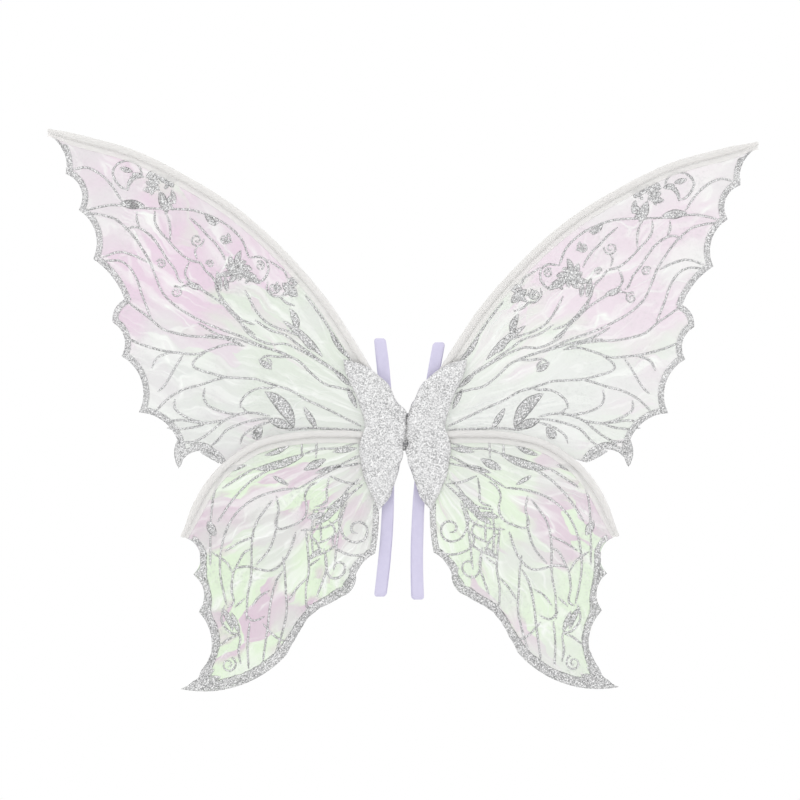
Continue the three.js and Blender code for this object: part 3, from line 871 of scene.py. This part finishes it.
def stroke(place, line, widths):
    # a low ridge of glitter along a line
    way = unit(np.gradient(line, axis=0))
    across = np.column_stack([way[:, 1], -way[:, 0]])
    shares = np.array([-1.0, -0.55, 0.55, 1.0])
    heights = np.array([0.0, 1.0, 1.0, 0.0]) * printed["veinHigh"]
    flat = line[:, None] + (shares[None, :, None] * widths[:, None, None] / 2) * across[:, None]
    shape = len(line), len(shares)
    ragged = printed["ragged"] * lumps(flat.reshape(-1, 2), printed["raggedSize"], 6.0).reshape(shape)
    flat = flat + (ragged * np.sign(shares))[:, :, None] * across[:, None]
    front = filmFront(place, flat.reshape(-1, 2)).reshape(shape) - wing["printLift"] - heights
    return strip(np.dstack([flat[:, :, 0], front, flat[:, :, 1]]))


def vein(place, points, wide):
    line = curved(onWing(place, points), printed["step"], corner=math.pi, closed=False)
    at = runOf(line)
    ends = np.minimum(at, at[-1] - at)
    widths = wide * (0.5 + 0.5 * smooth(ends, 0, printed["taper"]))
    return stroke(place, line, widths * (1 + 0.18 * lumps(line, 7.0, 2.0)))


def leaf(place, first, last, bend, wide):
    share = np.linspace(0, 1, 16)[:, None]
    first, last = np.array(first, float), np.array(last, float)
    across = np.array([last[1] - first[1], first[0] - last[0]])
    line = first + share * (last - first) + 4 * share * (1 - share) * bend * across / np.linalg.norm(across)
    widths = 0.6 + wide * np.sin(math.pi * share[:, 0]) ** 0.8
    return stroke(place, onWing(place, line), widths)


def curl(place, centre, radius, begins):
    # a spiral that tightens
    share = np.linspace(0, 1, 30)
    angle = begins + share * 2.9 * math.pi
    size = radius * (1 - 0.8 * share)
    line = np.column_stack([centre[0] + size * np.cos(angle), centre[1] + size * np.sin(angle)])
    return stroke(place, onWing(place, line), 2.0 - 0.7 * share)


def flower(place, centre, radius, petals):
    # petals round a filled heart
    centre = np.array(centre, float)
    heart = np.array([0.5 * radius, 0.15 * radius])
    made = [leaf(place, centre - heart, centre + heart, 0, radius * 0.9)]
    for k in range(petals):
        angle = 0.4 + 2 * math.pi * k / petals
        way = np.array([math.cos(angle), math.sin(angle)])
        reach = radius * (0.85 + 0.25 * ((k * 7) % 3))
        ends = centre + 0.15 * radius * way, centre + reach * way
        made.append(leaf(place, *ends, 0.12 * radius, radius * 0.42))
    return made


def makePrint(name, place):
    strokes, leaves, curls, flowers, bands = artwork[place["kind"]]
    parts = [vein(place, points, printed["veinWide"]) for points in strokes]
    parts += [curl(place, *one) for one in curls]
    veins = piece(f"{name}_veins", joined(parts), "print", "glitter", place["body"])
    parts = [leaf(place, *one) for one in leaves]
    parts += [vein(place, points, wide) for points, wide in bands]
    for one in flowers:
        parts += flower(place, *one)
    filled = piece(f"{name}_leaves", joined(parts), "print", "glitter", place["body"])
    place["print"] = [veins, filled]


for name, place in wings.items():
    makeFilm(name, place)
    makeEdge(name, place)
    makeCasing(name, place)
    makeStitches(name, place)
    makePrint(name, place)
print("wings made")


# the glitter fabric covers, the gathered neck between them and the felt behind it

cover = {
    "thick": 0.6,
    "step": 1.7,
    "crown": 0.6,  # swell over the foam
    "edgeDrop": 2.7,  # the edge bends back this far towards the wings
    "edgeWide": 4.0,
    "foldDepth": 0.7,
    "folds": 11,
    "pinch": 3.0,  # dip at the neck
    "pinchWide": 8.5,
    "wander": 0.35,  # soft lumps in the cloth
    "creaseWander": 0.55,
}
# a cover's cut line, (out, up), from the middle of the gather down and round
coverShape = [
    (1.0, 11), (0.8, 4), (0.9, -4), (1.3, -9), (2.4, -12.5), (2.5, -15.5), (1.4, -19), (1.2, -23),
    (7.5, -45), (12, -58), (15, -67), (20, -73.5), (26.5, -80), (31, -70), (37, -57), (41.5, -46),
    (44, -32), (46, -17), (43, -6), (40, 3), (42, 14), (46, 26), (50, 37), (55, 47), (60, 60),
    (61.5, 70.5), (54, 69), (44, 66), (33, 60), (25, 53.5), (16, 45), (9.5, 31), (1.3, 18.5),
]


def crease(points):
    # how far the fold down the middle wanders; the rest of a cover stays where it is cut
    z = points[:, 1]
    wander = 1.1 + 0.06 * z + cover["creaseWander"] * np.sin(z * 0.42 + 0.6)
    return wander * (1 - smooth(np.abs(points[:, 0]), 2, 7))


def makeCover(name, side, front):
    face = "front" if front else "back"
    cad = f"cover_{face}_{name}"
    low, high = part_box(cad)
    line = curved([(side * out, z) for out, z in coverShape], cover["step"])
    line[:, 0] += crease(line)
    flat, faces = meshed(line, cover["step"])
    reach = side * (flat[:, 0] - crease(flat))
    z = flat[:, 1]
    cut = line[side * line[:, 0] > 4.5]
    start = max(range(len(cut)), key=lambda i: np.linalg.norm(cut[i] - cut[i - 1]))
    fromEdge = distanceTo(np.roll(cut, -start, 0), flat)
    fromTape = distanceTo(wings["hindwing_" + name]["path"], flat)
    bend = cover["edgeDrop"] * (1 - smooth(fromEdge, 0, cover["edgeWide"])) * smooth(fromTape, 5.5, 10)
    if front:
        angle = cover["folds"] * np.arctan2(z + 2, reach)
        away = np.hypot(reach, z * 0.8)
        folds = np.sin(angle + 1.4 * lumps(flat, 22.0, side * 3.0)) * (1 - smooth(away, 6, 34))
        depth = cover["foldDepth"] * (folds - 0.2) * smooth(reach, 0.5, 5)
        swell = cover["crown"] * smooth(fromEdge, 0, 16) + cover["wander"] * lumps(flat, 13.0, 1.0)
        dip = cover["pinch"] * (1 - smooth(reach, 0, cover["pinchWide"])) ** 1.3
        dip *= 1 + 0.5 * np.exp(-((z + 14) / 4) ** 2)
        frontY = low.y / mm - swell + bend + dip - depth * 0.9
    else:
        swell = 0.35 * cover["wander"] * lumps(flat, 15.0, 6.0)
        frontY = high.y / mm - cover["thick"] + swell - 0.5 * bend
    shape = thinSolid(flat, faces, frontY, cover["thick"])
    made = piece(f"cover_{face}_cloth_{name}", shape, "cover", "glitter", None, cad)
    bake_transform(made)
    size, area = cutSize(line)


def makeCore(name):
    # the foam between the covers, with its cut edges eased
    shape = bmesh.new()
    shape.from_mesh(nodes["core_" + name].data)
    bmesh.ops.remove_doubles(shape, verts=shape.verts, dist=1e-6)
    sharp = [e for e in shape.edges if len(e.link_faces) == 2 and e.calc_face_angle(0) > 0.6]
    bmesh.ops.bevel(shape, geom=sharp, offset=0.0003, segments=2, affect="EDGES", profile=0.5)
    for vert in shape.verts:
        vert.co += vert.normal * 0.00012 * noise.noise(vert.co * 400)
    mesh = bpy.data.meshes.new("foam_" + name)
    shape.to_mesh(mesh)
    shape.free()
    made = shown("foam_" + name, mesh, "foam", "foam", "half_" + name, "core_" + name)


gather = {
    "step": 1.3,
    "half": 4.4,  # half its width
    "front": -8.3,
    "back": -2.3,
    "pleats": 9,
    "pleatDepth": 0.55,
    "top": 14.5,
    "bottom": -20.5,
    "waist": -14.0,
    "waistShare": 0.72,
    "threadTurns": 5,
    "threadRadius": 0.36,
}


def gatherSection(z, count, extra=0.0, pleated=1.0):
    # a ring round the gathered cloth at a height, extra millimetres outside it
    turn, cosine, sine = ring(count)
    waist = 1 - (1 - gather["waistShare"]) * math.exp(-((z - gather["waist"]) / 4.5) ** 2)
    halfDeep = (gather["back"] - gather["front"]) / 2
    middle = (gather["back"] + gather["front"]) / 2
    pleats = np.sin(gather["pleats"] * turn + 0.06 * z) * (0.7 + 0.3 * math.sin(z * 0.3))
    ridge = pleated * gather["pleatDepth"] * pleats
    across = (gather["half"] * waist + ridge + extra) * cosine
    forward = (halfDeep * (0.6 + 0.4 * waist) + ridge + extra) * sine
    return np.column_stack([across, middle - forward, np.full(count, z)])


def makeGather():
    rows = []
    heights = np.arange(gather["bottom"], gather["top"] + 0.1, gather["step"])
    for k, z in enumerate(heights):
        size = 0.55 if k in (0, len(heights) - 1) else 1.0
        section = gatherSection(z, 90)
        middle = section.mean(0)
        rows.append(middle + (section - middle) * size)
    piece("gather_cloth", strip(rows), "gather", "glitter", "center", "gather")
    parts = []
    low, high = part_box("gather_binding")
    radius, turns = gather["threadRadius"], gather["threadTurns"]
    for k in range(turns):
        z = (low.z + (high.z - low.z) * (k + 0.5) / turns) / mm
        path = gatherSection(z, 48, extra=radius, pleated=0.35)
        path[:, 2] += 0.18 * np.sin(np.arange(48) * 2 * math.pi / 48 + k)
        parts.append(thread(path, radius, closed=True))
    for end in (-1, 1):
        path = gatherSection(gather["waist"], 48, extra=1.4 * radius, pleated=0.2)[10:15]
        path[:, 2] += np.linspace(-1.4, 1.4, len(path)) * end
        parts.append(thread(path, radius * 0.9))
    piece("gather_thread", joined(parts), "thread", "thread", "center", "gather_binding")


def thread(points, radius, closed=False, sides=8):
    # a round strand along a line
    if closed:
        way = unit(np.roll(points, -1, 0) - np.roll(points, 1, 0))
    else:
        way = unit(np.gradient(points, axis=0))
    first = unit(np.cross(way, (0.3, 0.9, 0.2)))
    second = np.cross(way, first)
    _, cosine, sine = ring(sides)
    section = cosine[:, None] * first[:, None] + sine[:, None] * second[:, None]
    return strip(points[:, None] + radius * section, closed)


stitchRadius = 0.2


def hump(first, last, level, high, count):
    # one stitch that rises out of the cloth and goes back in, on the side that faces the wearer
    share = np.linspace(0, 1, count)
    flat = np.array(first) + share[:, None] * np.subtract(last, first)
    return thread(lift(flat, level + high * np.sin(math.pi * share)), stitchRadius, sides=6)


patch = {"step": 1.5, "corner": 2.0, "stitchIn": 1.3, "stitchPitch": 2.4, "stitchLong": 1.5, "fuzz": 0.06}


def makePatch():
    low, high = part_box("back_patch")
    half = (high.x - low.x) / 2 / mm
    bottom, top = low.z / mm, high.z / mm
    corner = patch["corner"]
    line = []
    for x, z, begins in ((half, top, 0), (-half, top, 90), (-half, bottom, 180), (half, bottom, 270)):
        middle = np.array([x - math.copysign(corner, x), z - math.copysign(corner, z)])
        for turn in np.radians(begins + np.arange(0, 91, 18)):
            line.append(middle + corner * np.array([math.cos(turn), math.sin(turn)]))
    line = curved(line, patch["step"], corner=math.radians(60))
    flat, faces = meshed(line, patch["step"])
    thick = (high.y - low.y) / mm
    fuzz = patch["fuzz"] * (1 + lumps(flat, patch["step"], 2.0))
    edge = 0.25 * (1 - smooth(distanceTo(line, flat, closed=True), 0, 1.2))
    shape = thinSolid(flat, faces, low.y / mm + fuzz, thick - 2 * fuzz - edge)
    made = piece("back_patch_felt", shape, "felt", "felt", "center", "back_patch")
    runs = []
    inset, long = patch["stitchIn"], patch["stitchLong"]
    for x in (-half + inset, half - inset):
        runs += [((x, z), (x, z + long)) for z in np.arange(bottom + 3, top - 3, patch["stitchPitch"])]
    for z in (bottom + inset, top - inset):
        runs += [((x, z), (x + long, z)) for x in np.arange(-half + 2.4, half - 2.8, patch["stitchPitch"])]
    parts = [hump(first, last, -0.2, 0.22, 6) for first, last in runs]
    stitches = piece("back_patch_stitches", joined(parts), "stitch", "felt", "center")


# the elastic arm loops and the stitching that holds them

strapPlaces = {
    "left": {"side": -1, "out": (25.0, 17.0, 25.5)},
    "right": {"side": 1, "out": (34.0, 20.0, 13.2)},
}
strap = {
    "width": 11.6,
    "thick": 1.2,
    "step": 3.0,
    "endNarrow": 0.3,  # share of the width that the elastic loses where it turns round
    "margin": 0.1,  # kept free inside the CAD piece's box
    "wave": 0.35,
    "skew": 1.1,  # the wearer's run lies this far beside the other
    "tackHigh": 8.0,
    "tackWide": 8.6,
    "tackPitch": 1.7,
}


def strapMiddle(place, low, high, z):
    # how far out the middle of the elastic is at a height
    top, centre, bottom = place["out"]
    share = (z - low) / (high - low)
    level = -low / (high - low)
    straight = bottom + (top - bottom) * share
    sag = (centre - (bottom + (top - bottom) * level)) / (level * (1 - level))
    return straight + sag * share * (1 - share)


def makeStrap(name, place):
    side, thick = place["side"], strap["thick"]
    body = "arm_loop_" + name
    low, high = (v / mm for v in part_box("strap_" + name))
    inset = strap["margin"] + thick / 2
    front, back = low.y + inset, high.y - inset
    bend = (back - front) / 2
    bottom, top = low.z + inset + bend, high.z - inset - bend
    up = np.arange(bottom, top, strap["step"])
    turn = np.linspace(0, math.pi, 9)
    line = [(front, z) for z in up]
    line += [((front + back) / 2 - bend * math.cos(a), top + bend * math.sin(a)) for a in turn]
    line += [(back, z) for z in up[::-1]]
    line += [((front + back) / 2 + bend * math.cos(a), bottom - bend * math.sin(a)) for a in turn]
    line = np.array(line)
    line = line[np.linalg.norm(line - np.roll(line, 1, 0), axis=1) > 0.2]
    way = unit(np.roll(line, -1, 0) - np.roll(line, 1, 0))
    shares = [(-1, 0.55), (-0.93, 1), (-0.5, 0.93), (0, 1), (0.5, 0.93), (0.93, 1), (1, 0.55)]
    across, through = np.array(shares + [(a, -b) for a, b in shares[::-1]]).T
    rows = []
    for (y, z), (wayY, wayZ) in zip(line, way):
        free = smooth(abs(z), 12, 60)
        behind = (y - front) / (back - front)
        wander = strap["wave"] * noise.noise((z / 38, behind * 3, side * 2.0)) * free
        skew = strap["skew"] * behind * free * math.sin(z / 60 + 1)
        middle = strapMiddle(place, low.z, high.z, z) + wander + skew
        slack = 0.5 * strap["wave"] * noise.noise((z / 25, 9.0, side + behind)) * free
        over = max(z - top, bottom - z, 0) / bend
        halfWide = strap["width"] / 2 * (1 - strap["endNarrow"] * over**3)
        rise = through * thick / 2
        flat = np.column_stack([side * (middle + across * halfWide), z + rise * wayY])
        rows.append(lift(flat, y + slack - rise * wayZ))
    shape = strip(rows, closed=True)
    made = piece(f"strap_elastic_{name}", shape, "elastic", "elastic", body, "strap_" + name)
    stitches = makeTack(name, side, strapMiddle(place, low.z, high.z, 0.0))
    length = float(np.linalg.norm(line - np.roll(line, 1, 0), axis=1).sum()) * mm


def makeTack(name, side, middle):
    # a sewn box with a cross in it
    low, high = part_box("strap_tack_" + name)
    level = (low.y + high.y) / 2 / mm - 0.28
    wide, tall = strap["tackWide"] / 2, strap["tackHigh"] / 2
    signs = ((-1, -1), (1, -1), (1, 1), (-1, 1))
    corners = [np.array([side * (middle + a * wide), b * tall]) for a, b in signs]
    parts = []
    for i, j in ((0, 1), (1, 2), (2, 3), (3, 0), (0, 2), (1, 3)):
        way = corners[j] - corners[i]
        count = max(3, round(np.linalg.norm(way) / strap["tackPitch"]))
        for k in range(count):
            begin, end = (corners[i] + way * (k + share) / count for share in (0.1, 0.9))
            parts.append(hump(begin, end, level, 0.42, 5))
    body = "arm_loop_" + name
    return piece(f"strap_stitches_{name}", joined(parts), "stitch", "thread", body, "strap_tack_" + name)


for name, place in strapPlaces.items():
    makeCore(name)
    makeCover(name, place["side"], front=True)
    makeCover(name, place["side"], front=False)
makeGather()
makePatch()
for name, place in strapPlaces.items():
    makeStrap(name, place)
for name, node in nodes.items():
    if not node.hide_render:
        node.data.materials.clear()
        node.data.materials.append(finishes["cap" if "_cap_" in name else "wire"])
kept = sorted(name for name, node in nodes.items() if not node.hide_render)
print("covers, neck and arm loops made; CAD pieces kept:", kept)


# the studio: a white room, three soft lights and the camera

def makeStudio():
    scene = bpy.context.scene
    scene.view_settings.view_transform = "Standard"
    world = bpy.data.worlds.new("studio")
    world.use_nodes = True
    background = world.node_tree.nodes["Background"]
    background.inputs["Color"].default_value = (1, 1, 1, 1)
    background.inputs["Strength"].default_value = 1.0
    scene.world = world
    floorShape = bmesh.new()
    bmesh.ops.create_circle(floorShape, cap_ends=True, radius=0.5, segments=96)
    mesh = bpy.data.meshes.new("floor")
    floorShape.to_mesh(mesh)
    floorShape.free()
    floor = bpy.data.objects.new("floor", mesh)
    floor.location.z = -0.45
    pale = Finish("floor_paint", Roughness=0.9)
    paint = pale.mix(pale.grain(8.0), rgb(250, 250, 250), rgb(246, 246, 246))
    mesh.materials.append(pale.set(Base_Color=paint))
    scene.collection.objects.link(floor)
    lights = {
        "key": {"at": (-0.9, -1.6, 1.3), "size": 1.0, "power": 5},
        "fill": {"at": (1.3, -1.5, 0.4), "size": 1.4, "power": 2},
        "rim": {"at": (0.3, 1.4, 1.1), "size": 1.0, "power": 3},
    }
    for name, light in lights.items():
        lamp = bpy.data.lights.new(name, "AREA")
        lamp.size = light["size"]
        lamp.energy = light["power"]
        made = bpy.data.objects.new(name, lamp)
        made.location = light["at"]
        made.rotation_euler = (-Vector(light["at"])).to_track_quat("-Z", "Y").to_euler()
        scene.collection.objects.link(made)


def makeCamera():
    camera = bpy.data.cameras.new("camera")
    camera.sensor_width = 36
    away = 3.2
    seen = 0.8  # metres across the picture at the wings
    camera.lens = camera.sensor_width * away / seen
    made = bpy.data.objects.new("camera", camera)
    made.location = (-0.005, -away, 0.030)
    made.rotation_euler = (math.radians(90), 0, 0)
    bpy.context.scene.collection.objects.link(made)
    bpy.context.scene.camera = made


makeStudio()
makeCamera()
print("studio made")
